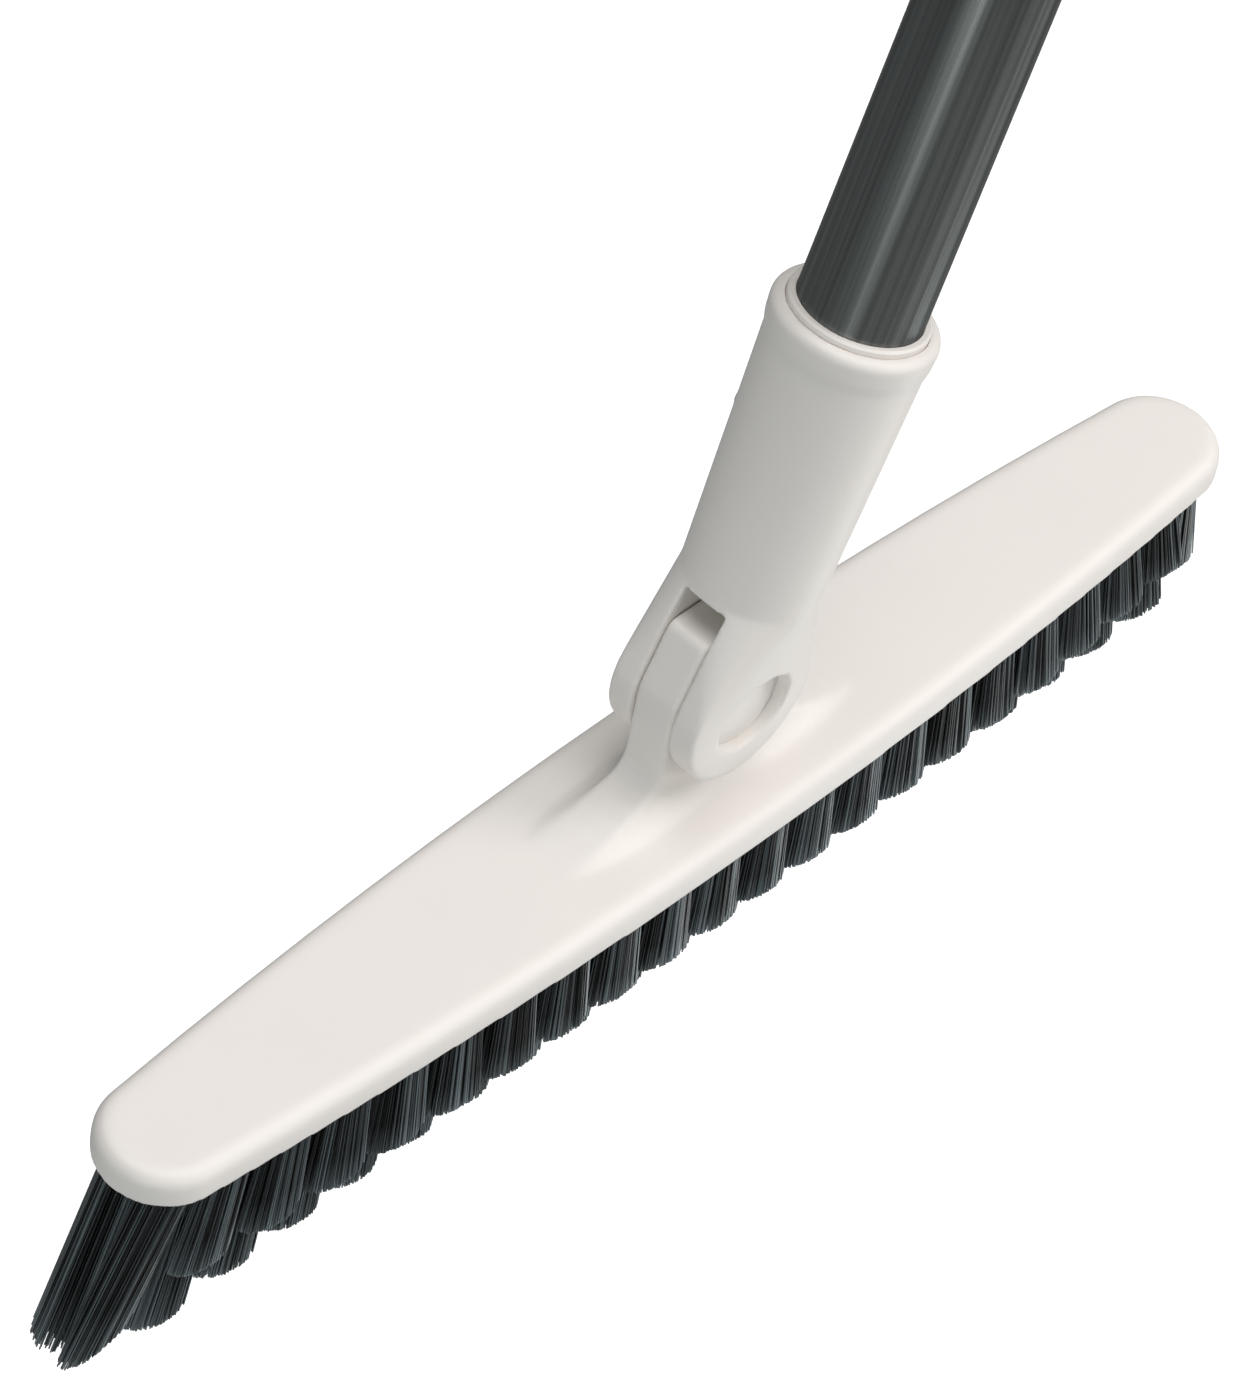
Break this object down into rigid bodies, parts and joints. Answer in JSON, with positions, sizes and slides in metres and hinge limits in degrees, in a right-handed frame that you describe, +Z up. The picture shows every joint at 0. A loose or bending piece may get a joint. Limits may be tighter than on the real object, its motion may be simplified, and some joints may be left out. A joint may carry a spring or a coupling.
{
  "type": "grout brush",
  "caption": "Long grout brush with a narrow swivelling head, V-trimmed charcoal bristles and a telescopic dark steel pole with a hang hole.",
  "frame": {"origin": "middle of the hang hole in the end cap at the top of the pole", "axes": "+Z up from the floor with the head level, +X along the head towards the side that the pole leans to, +Y across the head, along the swivel pin"},
  "size_m": [0.3284, 0.0348, 0.7802],
  "materials": {
    "cream_plastic": "satin moulded, lightly rounded edges",
    "dark_tube": "satin dark grey, faint lengthwise drawing lines",
    "bristle": "charcoal nylon filament, paler at the cut tips",
    "black_plastic": "satin",
    "soft_grip": "matte",
    "screw_steel": "plain"
  },
  "bodies": {
    "head": {"head_cover": "cream_plastic", "bristle_pad_near": "bristle", "bristle_pad_middle": "bristle", "bristle_pad_far": "bristle", "pad_screws": "screw_steel"},
    "lower": {"socket_fork": "cream_plastic", "pivot_pin": "cream_plastic", "pin_retainer": "cream_plastic", "pin_screw": "screw_steel", "friction_washers": "black_plastic", "socket_ferrule": "cream_plastic", "socket_screw": "screw_steel", "foot_plug": "black_plastic", "lower_tube": "dark_tube", "stem_plug": "black_plastic", "stem_clip": "screw_steel"},
    "slider": {"guide_bush": "cream_plastic"},
    "upper": {"upper_tube": "dark_tube", "collet": "black_plastic", "grip": "soft_grip", "end_cap": "cream_plastic", "cap_pin": "screw_steel"},
    "collar": {"lock_collar": "black_plastic"}
  },
  "joints": [
    {"name": "pole_slide", "type": "slide", "parent": "upper", "child": "slider", "axis": [-0.2419, 0, -0.9703], "range_m": [0, 0.4]},
    {"name": "pole_turn", "type": "hinge", "parent": "slider", "child": "lower", "pos_m": [-0.10209, 0, -0.40947], "axis": [0.2419, 0, 0.9703], "continuous": true},
    {"name": "head_swivel", "type": "hinge", "parent": "lower", "child": "head", "pos_m": [-0.17467, 0, -0.70055], "axis": [0, 1, 0], "range_deg": [-66, 94]},
    {"name": "collar_turn", "type": "hinge", "parent": "upper", "child": "collar", "pos_m": [-0.13233, 0, -0.53075], "axis": [0.2419, 0, 0.9703], "range_deg": [0, 120]}
  ]
}
